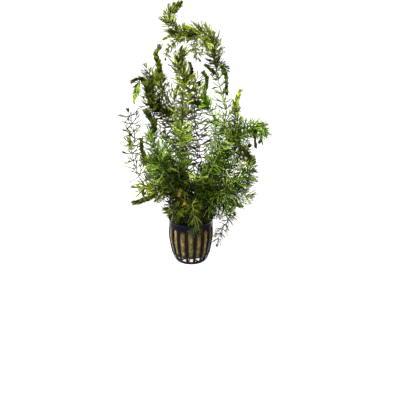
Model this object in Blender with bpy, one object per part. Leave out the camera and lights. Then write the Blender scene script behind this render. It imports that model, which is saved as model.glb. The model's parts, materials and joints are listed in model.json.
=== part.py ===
"""A bunch of hornwort, a whorled water plant, in a small black net pot.

The stems stand in a plug of mineral wool inside the pot. Each stem or side shoot is one closed
solid: a thin stem with a tier of leaves at every node, each tier a star that opens towards the
tip. Lengths are in millimetres until the meshes are made, which are in metres. The origin is at
the middle of the pot's underside, +Z is up and the plant's front faces -Y.
"""
import math
from collections import namedtuple

import bmesh
import bpy
import numpy as np
from mathutils import Vector
from mathutils.kdtree import KDTree

MM = 0.001
GAP = 0.3                  # left between pieces that touch

# Pot: outer radius and height of each line round its side, rim first
RIM = (25.0, 51.5)
RIM_FOOT = (25.0, 50.2)
NECK = (23.8, 49.0)
SLOT_TOP = (24.5, 41.0)
BELLY = (24.95, 32.0)
SLOT_FOOT = (21.5, 10.2)
HOOP_FOOT = (21.2, 9.0)
OPENING_FOOT = (19.0, 3.1)
BASE_EDGE = (17.3, 0.0)
FLOOR_RING_INNER = 13.4    # radius where the floor's open part starts
HUB_RADIUS = 5.0
WALL = 1.2
EDGE_WALL = 0.96           # the wall is thinner round the base's edge
CREASE = math.radians(35)  # sharper edges than this are shaded sharp
SLOTS = 16
SLOT_ANGLE = math.radians(14.4)
SLOT_TURN = math.radians(-91.0)    # where the first slot's middle is
ARCH_RISE = 2.2            # a slot's round top above its sides
FLOOR_BAR_EVERY = 2        # one floor bar to every second rib

# The places of four of those lines, counted from the rim
SLOT_TOP_LINE = 3
SLOT_FOOT_LINE = 5
HOOP_FOOT_LINE = 6
FLOOR_RING_LINE = 9

# Wool plug
PLUG_FOOT = 8.9
PLUG_TOP = 44.0
PLUG_SIDES = 20
PLUG_CLEAR = 0.4           # between the wool and the pot
SOCKET_DEPTH = 5.0
SOCKET_SIDES = 4

# Stems and their tiers of leaves
STEM_RADIUS = 0.9
STEM_SIDES = 4
ROUTE_STEP = 1.0           # between the points that a route is read at
CURVE_STEPS = 40           # parts that each stretch of the curve is first read in
LEAN = 0.55                # a tier opens over this share of the way to the next
VALLEY = 0.36              # radius between a tier's points, as a share of its reach
LEAF_GAP = 0.8             # nearer to its own stem than to the next by at least this
LEAF_TESTS = (0.4, 0.7)    # places along a leaf, besides its point, that are tested
REACH_STEP = 0.5
LEAST_REACH = 1.1          # a tier's radius where nothing longer fits
LEAST_SPREAD = 15.0        # a tier whose eight radii add up to less is left off
TIP_CROWDING = 0.3         # share by which nodes draw together towards a tip
SOCKET_MOUTH = 5.5         # a planted stem runs straight for this length
UPRIGHT = 3.0              # and stands upright this far above the wool
PLANTED_BARE = 18.0        # leafless length in the wool and the pot's mouth
SIDE_BARE = 3.0            # leafless length at a side shoot's foot
LEAST_STRETCH = 4.0        # between two nodes of a stem
BEND_SHARE = 0.8           # in a bend, a leaf's point is this share of its length from the stem

Shoot = namedtuple("Shoot", "name parent colour foot_leaf tip_leaf spacing route")
IN_PLUG = None             # the parent of a stem that stands in the wool

LIME = (0.36, 0.52, 0.06)
GREEN = (0.10, 0.24, 0.03)
DEEP_GREEN = (0.04, 0.11, 0.02)
OLIVE = (0.17, 0.22, 0.04)
DARK_OLIVE = (0.06, 0.08, 0.02)
PALE = (0.42, 0.46, 0.22)
BROWN = (0.22, 0.13, 0.04)
BLACK_PLASTIC = (0.012, 0.012, 0.016)
WOOL = (0.23, 0.17, 0.09)

# Each route runs from the foot to the tip, seen from the front: right, back, up
SHOOTS = [
    Shoot("centre_stem", IN_PLUG, OLIVE, 10, 10, 17,
          [(0, 0), (-1, 0, 67), (-3, -1, 100), (-8, -5, 138), (-10, -8, 166), (-7, -10, 197),
           (-7, -14, 217), (-13, -18, 235), (-9, -20, 245)]),
    Shoot("centre_side_tip", "centre_stem", DARK_OLIVE, 5, 2, 10,
          [(-5, -12, 207), (0, -4, 214), (1, 0, 220), (-1, 2, 228)]),
    Shoot("open_upper_shoot", "centre_stem", OLIVE, 9, 9, 13,
          [(-10, -8, 166), (-2, 2, 174), (5, 9, 185), (8, 13, 197)]),
    Shoot("left_stem", IN_PLUG, OLIVE, 10, 3, 16,
          [(-6, 5), (-7, 6, 64), (-8, 8, 90), (-6, 16, 125), (-13, 20, 150), (-23, 20, 164),
           (-29, 18, 180), (-31, 13, 200), (-33, 8, 222), (-35, 6, 234), (-32, 5, 242)]),
    Shoot("upper_left_shoot", "left_stem", OLIVE, 9, 9, 11,
          [(-30, 16, 190), (-37, 22, 196), (-42, 28, 203), (-46, 32, 211)]),
    Shoot("left_hook_shoot", "upper_left_shoot", DARK_OLIVE, 4, 2, 10,
          [(-37, 23, 195), (-46, 22, 199), (-52, 20, 203), (-57, 18, 203), (-62, 16, 201)]),
    Shoot("left_hook_drop", "left_hook_shoot", LIME, 5, 5, 10,
          [(-53, 20, 203), (-56, 24, 196), (-58, 26, 187), (-60, 26, 177)]),
    Shoot("dark_olive_shoot", "left_stem", DARK_OLIVE, 12, 6, 13,
          [(-22, 20, 163), (-33, 10, 173), (-40, 2, 186), (-43, -4, 198), (-41, -8, 208)]),
    Shoot("pale_left_shoot", "left_stem", PALE, 10, 6, 14,
          [(-13, 20, 150), (-27, 16, 150), (-38, 11, 156), (-44, 14, 170), (-50, 18, 180)]),
    Shoot("open_middle_shoot", "left_stem", DARK_OLIVE, 10, 10, 15,
          [(-7, 17, 130), (-15, 28, 140), (-20, 34, 153), (-20, 36, 168), (-15, 37, 184)]),
    Shoot("right_stem", IN_PLUG, DEEP_GREEN, 11, 9, 16,
          [(6, -5), (6, -5, 62), (12, -10, 88), (21, -17, 113), (30, -23, 140), (36, -26, 165),
           (36, -26, 182), (32, -24, 199), (28, -20, 212), (27, -15, 225)]),
    Shoot("front_middle_shoot", "right_stem", DEEP_GREEN, 11, 10, 13,
          [(12, -10, 88), (13, -26, 96), (13, -38, 108), (11, -43, 122)]),
    Shoot("inner_small_tip", "right_stem", DARK_OLIVE, 4, 2, 10,
          [(28, -18, 217), (20, -23, 227), (12, -28, 236)]),
    Shoot("arch_stem", "right_stem", OLIVE, 12, 12, 12,
          [(27, -15, 226), (24, -8, 238), (24, -1, 248), (17, 5, 256), (7, 9, 259), (-4, 12, 254)]),
    Shoot("arch_tip_shoot", "arch_stem", OLIVE, 11, 8, 11,
          [(-4, 12, 254), (-13, 14, 256), (-20, 16, 263), (-21, 17, 272), (-17, 18, 280),
           (-10, 18, 287)]),
    Shoot("arch_small_tip", "arch_tip_shoot", OLIVE, 3, 2, 8,
          [(-13, 14, 256), (-19, 10, 253), (-26, 7, 250)]),
    Shoot("drooping_pale_shoot", "arch_stem", OLIVE, 6, 6, 11,
          [(1, 11, 257), (-7, 17, 250), (-17, 20, 242), (-24, 19, 235), (-26, 18, 226)]),
    Shoot("crest_hanging_shoot", "arch_stem", DARK_OLIVE, 8, 6, 10,
          [(10, 8, 258), (5, 0, 250), (5, -4, 241), (8, -6, 233)]),
    Shoot("crest_front_shoot", "arch_stem", OLIVE, 9, 8, 9,
          [(22, 2, 252), (17, -8, 251), (13, -16, 247)]),
    Shoot("outer_right_shoot", "arch_stem", DEEP_GREEN, 6, 4, 10,
          [(27, -13, 229), (33, -16, 228), (36, -18, 220), (37, -20, 213), (37, -22, 204)]),
    Shoot("inner_right_stem", IN_PLUG, GREEN, 11, 3, 16,
          [(9, 3), (10, 4, 65), (16, 6, 86), (22, 8, 113), (26, 7, 139), (26, 3, 160), (21, -2, 177),
           (15, -5, 189), (16, -7, 203), (17, -8, 212), (14, -8, 220)]),
    Shoot("inner_side_shoot", "inner_right_stem", DEEP_GREEN, 7, 5, 10,
          [(21, -2, 177), (10, 6, 180), (1, 13, 180)]),
    Shoot("green_left_stem", IN_PLUG, DEEP_GREEN, 11, 3, 14,
          [(-6, -7), (-6, -8, 66), (-9, -15, 90), (-17, -22, 112), (-28, -28, 130), (-37, -30, 145),
           (-40, -30, 157), (-38, -28, 167), (-41, -26, 176), (-45, -24, 184)]),
    Shoot("green_middle_shoot", "green_left_stem", DEEP_GREEN, 12, 10, 14,
          [(-10, -16, 93), (-12, -30, 115), (-13, -36, 140), (-12, -38, 158), (-7, -36, 171)]),
    Shoot("green_low_shoot", "green_left_stem", DEEP_GREEN, 12, 10, 13,
          [(-15, -20, 107), (-23, -33, 115), (-31, -42, 128), (-34, -46, 142)]),
    Shoot("dark_left_tip", "green_left_stem", DARK_OLIVE, 9, 2, 13,
          [(-27, -28, 128), (-38, -20, 122), (-46, -13, 123), (-51, -8, 131), (-52, -5, 140)]),
    Shoot("far_left_stem", IN_PLUG, PALE, 13, 13, 14,
          [(-12, 6), (-14, 8, 60), (-22, 14, 68), (-36, 18, 76), (-48, 18, 85), (-58, 16, 99),
           (-63, 12, 116), (-63, 8, 131), (-60, 4, 145), (-61, 0, 158), (-64, -3, 170), (-66, -4, 180)]),
    Shoot("pale_small_tip", "far_left_stem", LIME, 4, 3, 8,
          [(-63, 9, 127), (-66, 15, 135), (-66, 18, 144)]),
    Shoot("low_left_stem", IN_PLUG, OLIVE, 11, 8, 13,
          [(-13, -4), (-14, -8, 66), (-18, -16, 87), (-28, -22, 97), (-41, -26, 98), (-52, -28, 97),
           (-63, -30, 101)]),
    Shoot("low_left_tip", "low_left_stem", OLIVE, 8, 3, 12,
          [(-27, -22, 96), (-37, -15, 86), (-49, -12, 78), (-61, -10, 72)]),
    Shoot("left_middle_shoot", "low_left_stem", DEEP_GREEN, 11, 9, 13,
          [(-18, -16, 87), (-25, -5, 98), (-35, 3, 106), (-45, 7, 115)]),
    Shoot("rim_star_shoot", IN_PLUG, DARK_OLIVE, 9, 10, 11,
          [(-9, -13), (-11, -18, 62), (-17, -26, 71), (-24, -33, 76)]),
    Shoot("rim_brown_shoot", IN_PLUG, BROWN, 8, 7, 11,
          [(0, -7), (0, -12, 62), (-6, -24, 80), (-14, -33, 93)]),
    Shoot("right_bush_stem", IN_PLUG, GREEN, 12, 9, 14,
          [(13, -3), (14, -7, 65), (18, -8, 88), (27, -6, 109), (36, -2, 127), (46, 3, 139), (58, 8, 147),
           (70, 12, 152), (77, 12, 149), (77, 10, 140)]),
    Shoot("lime_shoot", "right_bush_stem", LIME, 12, 3, 12,
          [(43, 1, 136), (48, -10, 150), (49, -14, 166), (47, -15, 182), (48, -15, 193), (51, -14, 203)]),
    Shoot("bush_hanging_tip", "right_bush_stem", DEEP_GREEN, 6, 2, 9,
          [(64, 10, 150), (68, 0, 147), (69, -6, 138)]),
    Shoot("bush_inner_shoot", "right_bush_stem", GREEN, 10, 8, 10,
          [(49, 4, 141), (42, 15, 145), (33, 23, 149)]),
    Shoot("right_middle_shoot", "right_bush_stem", DEEP_GREEN, 11, 9, 13,
          [(27, -6, 109), (37, 7, 113), (49, 17, 118), (61, 23, 124)]),
    Shoot("low_right_stem", IN_PLUG, DEEP_GREEN, 12, 6, 14,
          [(11, -11), (12, -14, 63), (21, -21, 81), (31, -30, 95), (43, -36, 107), (56, -38, 117),
           (64, -38, 121), (72, -36, 122)]),
    Shoot("low_right_tip", "low_right_stem", DARK_OLIVE, 5, 2, 12,
          [(58, -38, 118), (64, -31, 126), (60, -25, 134), (52, -19, 142)]),
    Shoot("low_right_middle_shoot", "low_right_stem", OLIVE, 11, 8, 13,
          [(23, -23, 84), (34, -14, 99), (44, -10, 111), (52, -10, 121), (58, -12, 129)]),
    Shoot("low_right_outer_shoot", "low_right_stem", DEEP_GREEN, 11, 9, 13,
          [(30, -29, 93), (42, -39, 94), (54, -45, 95), (65, -46, 97)]),
    Shoot("low_right_front_shoot", "low_right_stem", DEEP_GREEN, 10, 8, 12,
          [(19, -20, 78), (29, -34, 77), (39, -42, 75), (49, -47, 77)]),
    Shoot("back_right_stem", IN_PLUG, DEEP_GREEN, 12, 10, 14,
          [(9, 10), (12, 14, 60), (20, 23, 68), (35, 30, 74), (51, 34, 77), (69, 35, 79)]),
    Shoot("back_right_low_shoot", "back_right_stem", GREEN, 11, 9, 13,
          [(27, 27, 71), (39, 40, 62), (52, 46, 61), (64, 48, 66)]),
    Shoot("right_hanging_stem", IN_PLUG, OLIVE, 8, 6, 12,
          [(17, -7), (19, -9, 58), (26, -14, 74), (34, -17, 77), (41, -19, 71), (42, -19, 60),
           (36, -17, 47), (31, -15, 34), (29, -15, 22)]),
    Shoot("right_small_tip", "right_hanging_stem", LIME, 6, 5, 10,
          [(37, -18, 76), (46, -8, 71), (56, -3, 65)]),
    Shoot("front_hanging_shoot", IN_PLUG, DARK_OLIVE, 9, 8, 11,
          [(4, -15), (4, -18, 60), (2, -28, 78), (3, -36, 76), (5, -38, 64), (5, -37, 48)]),
    Shoot("back_middle_stem", IN_PLUG, DARK_OLIVE, 12, 11, 16,
          [(1, 11), (2, 13, 62), (7, 24, 80), (10, 36, 104), (8, 42, 131), (6, 42, 155), (6, 38, 176),
           (3, 34, 197)]),
    Shoot("back_left_stem", IN_PLUG, GREEN, 13, 11, 14,
          [(-6, 14), (-6, 16, 62), (-11, 26, 76), (-20, 38, 94), (-26, 45, 113), (-28, 47, 130)]),
    Shoot("back_low_left_shoot", "back_left_stem", DEEP_GREEN, 11, 9, 13,
          [(-11, 26, 76), (-24, 35, 74), (-37, 41, 78), (-50, 45, 85)]),
]


def clear_scene():
    for thing in list(bpy.data.objects):
        bpy.data.objects.remove(thing, do_unlink=True)


def principled(name, colour, roughness):
    material = bpy.data.materials.new(name)
    material.use_nodes = True
    shader = material.node_tree.nodes["Principled BSDF"]
    shader.inputs["Base Color"].default_value = (*colour, 1.0)
    shader.inputs["Roughness"].default_value = roughness
    shader.inputs["Metallic"].default_value = 0.0
    return material


def add_object(name, bm, colour, roughness):
    """Turn a bmesh in millimetres into a named object in metres."""
    bmesh.ops.scale(bm, vec=(MM, MM, MM), verts=bm.verts)
    bmesh.ops.recalc_face_normals(bm, faces=bm.faces)
    mesh = bpy.data.meshes.new(name)
    bm.to_mesh(mesh)
    bm.free()
    mesh.materials.append(principled(name, colour, roughness))
    thing = bpy.data.objects.new(name, mesh)
    bpy.context.scene.collection.objects.link(thing)
    return thing


def round_shading(thing):
    thing.data.shade_smooth()
    thing.data.set_sharp_from_angle(angle=CREASE)


# The pot

def pot_lines():
    """The shell's outer and inner point (radius, height) on each line, from the rim to the hub."""
    side = [RIM, RIM_FOOT, NECK, SLOT_TOP, BELLY, SLOT_FOOT, HOOP_FOOT, OPENING_FOOT]
    lines = []
    for radius, height in side:
        wall_line = NECK[0] if height > NECK[1] else radius
        lines.append(((radius, height), (wall_line - WALL, height)))
    lines.append((BASE_EDGE, (BASE_EDGE[0] - EDGE_WALL, WALL)))
    for radius in (FLOOR_RING_INNER, HUB_RADIUS):
        lines.append(((radius, 0.0), (radius, WALL)))
    return lines


def column_angles():
    """Where the shell's columns start: for each slot its rib, then the slot's two halves."""
    pitch = 2 * math.pi / SLOTS
    angles = []
    for slot in range(SLOTS):
        middle = SLOT_TURN + slot * pitch
        angles += [middle - pitch + SLOT_ANGLE / 2, middle - SLOT_ANGLE / 2, middle]
    return angles


def is_solid(line, column):
    """Whether the shell has material between a line and the next, in a column."""
    is_rib = column % 3 == 0
    in_slot = SLOT_TOP_LINE <= line < SLOT_FOOT_LINE
    in_opening = line == HOOP_FOOT_LINE
    if in_slot or in_opening:
        return is_rib
    if line == FLOOR_RING_LINE:
        return is_rib and (column // 3) % FLOOR_BAR_EVERY == 0
    return True


def build_pot():
    """One shell whose slots, openings and floor gaps are left out cell by cell."""
    bm = bmesh.new()
    lines = pot_lines()
    angles = column_angles()
    count = len(angles)
    skins = []
    for side in (0, 1):
        skin = []
        for number, line in enumerate(lines):
            radius, height = line[side]
            ring = []
            for column, angle in enumerate(angles):
                on_arch = number == SLOT_TOP_LINE and column % 3 == 2
                rise = ARCH_RISE if on_arch else 0.0
                place = (radius * math.cos(angle), radius * math.sin(angle), height + rise)
                ring.append(bm.verts.new(place))
            skin.append(ring)
        skins.append(skin)
    outer, inner = skins

    for line in range(len(lines) - 1):
        for column in range(count):
            if not is_solid(line, column):
                continue
            after = (column + 1) % count
            corners = [(line, column), (line, after), (line + 1, after), (line + 1, column)]
            bm.faces.new([outer[a][b] for a, b in corners])
            bm.faces.new([inner[a][b] for a, b in reversed(corners)])
            before = (column - 1) % count
            beside = [(line - 1, column), (line, after), (line + 1, column), (line, before)]
            for edge, (next_line, next_column) in enumerate(beside):
                is_hub = next_line == len(lines) - 1
                if is_hub or (next_line >= 0 and is_solid(next_line, next_column)):
                    continue
                first, second = corners[edge], corners[(edge + 1) % 4]
                bm.faces.new([outer[second[0]][second[1]], outer[first[0]][first[1]],
                              inner[first[0]][first[1]], inner[second[0]][second[1]]])
    for skin, height in ((outer, 0.0), (inner, WALL)):
        middle = bm.verts.new((0.0, 0.0, height))
        for column in range(count):
            bm.faces.new([skin[-1][column], skin[-1][(column + 1) % count], middle])
    for column in range(count):
        if not is_solid(FLOOR_RING_LINE, column):
            after = (column + 1) % count
            bm.faces.new([outer[-1][column], outer[-1][after], inner[-1][after], inner[-1][column]])
    unused = [vert for vert in bm.verts if not vert.link_faces]
    bmesh.ops.delete(bm, geom=unused, context="VERTS")
    round_shading(add_object("net_pot", bm, BLACK_PLASTIC, 0.35))


# The wool plug, with a socket for each stem that stands in it

def pot_inner_radius(height):
    """The pot's inner radius at a height, read between its lines."""
    inner = [line[1] for line in pot_lines()[1:]]
    for upper, lower in zip(inner, inner[1:]):
        if upper[1] >= height >= lower[1]:
            share = (upper[1] - height) / (upper[1] - lower[1])
            return upper[0] + share * (lower[0] - upper[0])
    return inner[0][0]


def build_plug(feet):
    heights = [PLUG_FOOT, BELLY[1], PLUG_TOP]
    bm = bmesh.new()
    rings = []
    for height in heights:
        radius = pot_inner_radius(height) - PLUG_CLEAR
        ring = []
        for side in range(PLUG_SIDES):
            angle = 2 * math.pi * side / PLUG_SIDES
            ring.append(bm.verts.new((radius * math.cos(angle), radius * math.sin(angle), height)))
        rings.append(ring)
    for lower, upper in zip(rings, rings[1:]):
        join_rings(bm, lower, upper)
    bm.faces.new(rings[0])
    bm.faces.new(rings[-1])
    plug = add_object("wool_plug", bm, WOOL, 0.95)

    bm = bmesh.new()
    to_corner = (STEM_RADIUS + GAP) / math.cos(math.pi / SOCKET_SIDES)
    for x, y in feet:
        ends = []
        for height in (PLUG_TOP - SOCKET_DEPTH, PLUG_TOP + SOCKET_DEPTH):
            ring = []
            for side in range(SOCKET_SIDES):
                angle = 2 * math.pi * side / SOCKET_SIDES
                place = (x + to_corner * math.cos(angle), y + to_corner * math.sin(angle), height)
                ring.append(bm.verts.new(place))
            ends.append(ring)
        join_rings(bm, ends[0], ends[1])
        bm.faces.new(ends[0])
        bm.faces.new(ends[1])
    cutter = add_object("socket_cutter", bm, WOOL, 0.95)
    cutter.hide_render = True
    cutter.display_type = "WIRE"
    cut = plug.modifiers.new("sockets", "BOOLEAN")
    cut.operation = "DIFFERENCE"
    cut.solver = "EXACT"
    cut.object = cutter
    round_shading(plug)


# Routes

def smooth_route(points):
    """Read a smooth curve through the points, evenly, as an array of places."""
    through = [Vector(p) for p in points]
    ends = [2 * through[0] - through[1]] + through + [2 * through[-1] - through[-2]]
    fine = []
    for a, b, c, d in zip(ends, ends[1:], ends[2:], ends[3:]):
        for step in range(CURVE_STEPS):
            t = step / CURVE_STEPS
            fine.append(0.5 * (2 * b + (c - a) * t + (2 * a - 5 * b + 4 * c - d) * t * t
                               + (3 * b - a - 3 * c + d) * t ** 3))
    fine.append(through[-1])
    fine = np.array(fine)
    along = np.concatenate([[0.0], np.cumsum(np.linalg.norm(np.diff(fine, axis=0), axis=1))])
    stops = np.linspace(0.0, along[-1], max(4, round(along[-1] / ROUTE_STEP)) + 1)
    return np.stack([np.interp(stops, along, fine[:, axis]) for axis in range(3)], axis=1)


def foot_on_parent(parent, points):
    """Start a side shoot just off its parent's stem, on the side that it grows to."""
    chosen = Vector(points[0])
    nearest = int(np.argmin(np.linalg.norm(parent - np.array(chosen), axis=1)))
    before, after = max(nearest - 1, 0), min(nearest + 1, len(parent) - 1)
    along = Vector(parent[after] - parent[before]).normalized()
    at_end = nearest == len(parent) - 1
    centre = Vector(parent[nearest])
    aim = (Vector(points[1]) - centre).normalized()
    if at_end:
        return centre + aim * GAP
    aside = (aim - along * aim.dot(along)).normalized()
    return centre + aside * (STEM_RADIUS + GAP + STEM_RADIUS * abs(aim.dot(along)))


def all_routes():
    """Every shoot's route by name; a planted stem starts at the bottom of its socket."""
    routes = {}
    for shoot in SHOOTS:
        points = list(shoot.route)
        if shoot.parent is IN_PLUG:
            x, y = points[0]
            floor = PLUG_TOP - SOCKET_DEPTH + GAP
            points = [(x, y, floor), (x, y, PLUG_TOP), (x, y, PLUG_TOP + UPRIGHT)] + points[1:]
        else:
            points = [foot_on_parent(routes[shoot.parent], points)] + points[1:]
        routes[shoot.name] = smooth_route(points)
    return routes


# How far a leaf may reach before it meets something else

def room_at_pot(place):
    """Distance from a place to the pot's rim and outside, or to the wool inside the rim."""
    x, y, height = place
    out = math.hypot(x, y)
    inner = NECK[0] - WALL
    above_rim = height - RIM[1]
    if above_rim > 0:
        aside = max(inner - out, 0.0, out - RIM[0])
        to_rim = math.hypot(aside, above_rim)
        to_wool = height - PLUG_TOP if out < inner else to_rim
        return min(to_rim, to_wool)
    if out > RIM[0]:
        return out - RIM[0]
    return min(inner - out, height - PLUG_TOP)


def tree_of(places):
    tree = KDTree(len(places))
    for index, place in enumerate(places):
        tree.insert(place, index)
    tree.balance()
    return tree


def leaf_reach(spokes, leaf, own, others):
    """The longest reach, up to the leaf's, at which all of a leaf is nearest to its own stem.

    The spokes are the leaf's root below it, its middle on the stem, the way it points and the
    stem's side above it.
    """
    root, centre, aim, above = spokes
    reach = leaf
    while reach > LEAST_REACH:
        point = centre + reach * aim
        tests = [point] + [end.lerp(point, share) for end in (root, above) for share in LEAF_TESTS]
        clear = own.find(point)[2] > BEND_SHARE * reach
        for test in tests:
            to_own = own.find(test)[2]
            clear = clear and others.find(test)[2] > to_own + LEAF_GAP and room_at_pot(test) > GAP
        if clear:
            return reach
        reach -= REACH_STEP
    return LEAST_REACH


# A shoot

def node_stops(length, shoot, forks):
    """Distances of a shoot's nodes: one wherever a side shoot leaves, and the rest between.

    They draw together towards the tip.
    """
    marks = [PLANTED_BARE if shoot.parent is IN_PLUG else SIDE_BARE]
    for fork in sorted(forks):
        if marks[-1] + LEAST_STRETCH < fork < length - LEAST_STRETCH:
            marks.append(fork)
    marks.append(length)
    stops = [marks[0]]
    for low, high in zip(marks, marks[1:]):
        local = shoot.spacing * (1 - TIP_CROWDING * (low + high) / 2 / length)
        count = max(1, round((high - low) / local))
        stops += [low + (high - low) * number / count for number in range(1, count + 1)]
    return stops


def route_frames(route):
    """A forward, side and third direction at each point, carried along without twist."""
    forward = []
    for i in range(len(route)):
        step = route[min(i + 1, len(route) - 1)] - route[max(i - 1, 0)]
        forward.append(step.normalized())
    side = forward[0].orthogonal().normalized()
    frames = []
    for i, ahead in enumerate(forward):
        if i:
            side = forward[i - 1].rotation_difference(ahead) @ side
        side = (side - ahead * side.dot(ahead)).normalized()
        frames.append((side, ahead.cross(side)))
    return frames


def around(route, frames, stop, count):
    """The point at a distance along a route, and directions square to the route there."""
    low = min(int(stop), len(route) - 2)
    centre = route[low].lerp(route[low + 1], stop - low)
    side, third = frames[min(int(round(stop)), len(frames) - 1)]
    angles = [2 * math.pi * number / count for number in range(count)]
    return centre, [math.cos(angle) * side + math.sin(angle) * third for angle in angles]


def add_ring(bm, centre, aims, radii):
    return [bm.verts.new(centre + radius * aim) for aim, radius in zip(aims, radii)]


def join_rings(bm, lower, upper):
    """Join two rings; one may have twice the other's points."""
    few, many = (lower, upper) if len(lower) <= len(upper) else (upper, lower)
    count = len(few)
    for i in range(count):
        j = (i + 1) % count
        if len(many) == count:
            bm.faces.new([few[i], few[j], many[j], many[i]])
            continue
        a, b, c = many[2 * i], many[2 * i + 1], many[(2 * i + 2) % (2 * count)]
        bm.faces.new([few[i], b, a])
        bm.faces.new([few[i], few[j], b])
        bm.faces.new([few[j], c, b])


def tier_radii(route, frames, stops, leaf, turned, own, others):
    """The star's radii at a tier's edge: long at the leaves and short between them."""
    foot, edge, top = stops
    sides = 2 * STEM_SIDES
    centre, aims = around(route, frames, edge, sides)
    below, root_aims = around(route, frames, foot, sides)
    over, top_aims = around(route, frames, top, sides)
    radii = [LEAST_REACH] * sides
    for number in range(turned, sides, 2):
        root = below + STEM_RADIUS * root_aims[number]
        above = over + STEM_RADIUS * top_aims[number]
        radii[number] = leaf_reach((root, centre, aims[number], above), leaf, own, others)
    for number in range(1 - turned, sides, 2):
        shorter = min(radii[number - 1], radii[(number + 1) % sides])
        radii[number] = max(VALLEY * shorter, LEAST_REACH)
    return radii


def build_shoot(shoot, routes):
    """A stem with a star-shaped tier of leaves at each node, closed at foot and tip."""
    route = [Vector(place) for place in routes[shoot.name]]
    own = tree_of(route)
    strangers = [places for name, places in routes.items() if name != shoot.name]
    others = tree_of([place for places in strangers for place in places])
    frames = route_frames(route)
    length = len(route) - 1
    bm = bmesh.new()
    stem = [STEM_RADIUS] * STEM_SIDES
    rings = [add_ring(bm, *around(route, frames, 0.0, STEM_SIDES), stem)]
    forks = [own.find(routes[side.name][0])[1] for side in SHOOTS if side.parent == shoot.name]
    stops = node_stops(length, shoot, forks)
    if shoot.parent is IN_PLUG:
        rings.append(add_ring(bm, *around(route, frames, SOCKET_MOUTH, STEM_SIDES), stem))
    for number, (foot, top) in enumerate(zip(stops, stops[1:])):
        rings.append(add_ring(bm, *around(route, frames, foot, STEM_SIDES), stem))
        edge = foot + LEAN * (top - foot)
        leaf = shoot.foot_leaf + (shoot.tip_leaf - shoot.foot_leaf) * edge / length
        radii = tier_radii(route, frames, (foot, edge, top), leaf, number % 2, own, others)
        if sum(radii) > LEAST_SPREAD:
            rings.append(add_ring(bm, *around(route, frames, edge, 2 * STEM_SIDES), radii))
    for lower, upper in zip(rings, rings[1:]):
        join_rings(bm, lower, upper)
    bm.faces.new(rings[0])
    tip = bm.verts.new(route[-1])
    last = rings[-1]
    for i in range(len(last)):
        bm.faces.new([last[i], last[(i + 1) % len(last)], tip])
    add_object(shoot.name, bm, shoot.colour, 0.5)


def main():
    clear_scene()
    build_pot()
    feet = [shoot.route[0] for shoot in SHOOTS if shoot.parent is IN_PLUG]
    build_plug(feet)
    routes = all_routes()
    for shoot in SHOOTS:
        build_shoot(shoot, routes)


main()
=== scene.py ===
"""Looks of a bunch of hornwort that stands in a small black net pot.

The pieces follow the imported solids: the pot and its wool plug first, then every stem and side
shoot, in the order in which the bunch is put together. Lengths in the tables are millimetres,
seen from the front: right, back, up; meshes are in metres.
"""

import json
import math
import random
from collections import namedtuple

import bmesh
import bpy
from mathutils import Matrix, Vector, noise

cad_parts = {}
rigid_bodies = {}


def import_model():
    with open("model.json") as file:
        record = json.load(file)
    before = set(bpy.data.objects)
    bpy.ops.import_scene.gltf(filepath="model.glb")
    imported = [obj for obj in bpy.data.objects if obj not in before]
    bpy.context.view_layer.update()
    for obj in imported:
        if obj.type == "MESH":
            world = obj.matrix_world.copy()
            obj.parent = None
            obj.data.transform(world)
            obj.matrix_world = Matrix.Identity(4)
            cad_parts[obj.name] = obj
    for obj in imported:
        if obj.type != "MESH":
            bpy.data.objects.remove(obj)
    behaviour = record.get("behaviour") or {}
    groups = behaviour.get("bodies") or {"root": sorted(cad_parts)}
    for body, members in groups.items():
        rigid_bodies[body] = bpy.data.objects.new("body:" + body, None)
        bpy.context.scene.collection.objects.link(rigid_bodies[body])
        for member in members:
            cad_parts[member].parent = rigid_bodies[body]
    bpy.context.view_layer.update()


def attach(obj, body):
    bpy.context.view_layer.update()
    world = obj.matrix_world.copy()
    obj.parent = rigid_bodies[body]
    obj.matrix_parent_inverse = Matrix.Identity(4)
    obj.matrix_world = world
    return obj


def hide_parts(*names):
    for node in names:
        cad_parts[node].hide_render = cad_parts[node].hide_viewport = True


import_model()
MM = 0.001


# The studio
# A product photograph on white: an opal light table that runs out of sight and leaves almost no
# shadow, a soft light high on the left, weaker ones on the right and behind, a strip that draws
# a line of light on the pot's left edge, and a camera that looks down by 25 degrees.

CAMERA_PLACE = (0.0, -0.95, 0.51)
LOOK_DOWN = math.radians(24.8)
LOOK_RIGHT = math.radians(0.61)
IMAGE_SIDE = 400
FOCAL_PIXELS = 954.0
SENSOR_WIDTH = 36.0


def srgb(hex_text):
    """A colour written as six hex digits, as linear values for a shader."""
    values = [int(hex_text[i:i + 2], 16) / 255 for i in (0, 2, 4)]
    return [v / 12.92 if v <= 0.04045 else ((v + 0.055) / 1.055) ** 2.4 for v in values] + [1.0]


def connect(node, links):
    """Give a node's inputs plain values, sockets, or nodes, which stand for their live output."""
    for place, value in links.items():
        if isinstance(value, bpy.types.Node):
            value = next(output for output in value.outputs if output.enabled)
        if isinstance(value, bpy.types.NodeSocket):
            node.id_data.links.new(value, node.inputs[place])
        else:
            node.inputs[place].default_value = value


def add_node(tree, kind, links=None, **settings):
    """Add a node with its settings and links. A Map Range has its value on 0, its range on 1 and
    2 and the new range on 3 and 4, each from 0 to 1 where it isn't given. A Mix of colours has
    its share on 0 and the colours on 6 and 7."""
    node = tree.nodes.new(kind)
    for name, value in settings.items():
        setattr(node, name, value)
    connect(node, links or {})
    return node


def new_material(name):
    """A new material, its tree and its shader."""
    material = bpy.data.materials.new(name)
    material.use_nodes = True
    return material, material.node_tree, material.node_tree.nodes["Principled BSDF"]


def put(name, data):
    """Put an object in the scene, at the origin."""
    thing = bpy.data.objects.new(name, data)
    bpy.context.scene.collection.objects.link(thing)
    return thing


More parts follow.
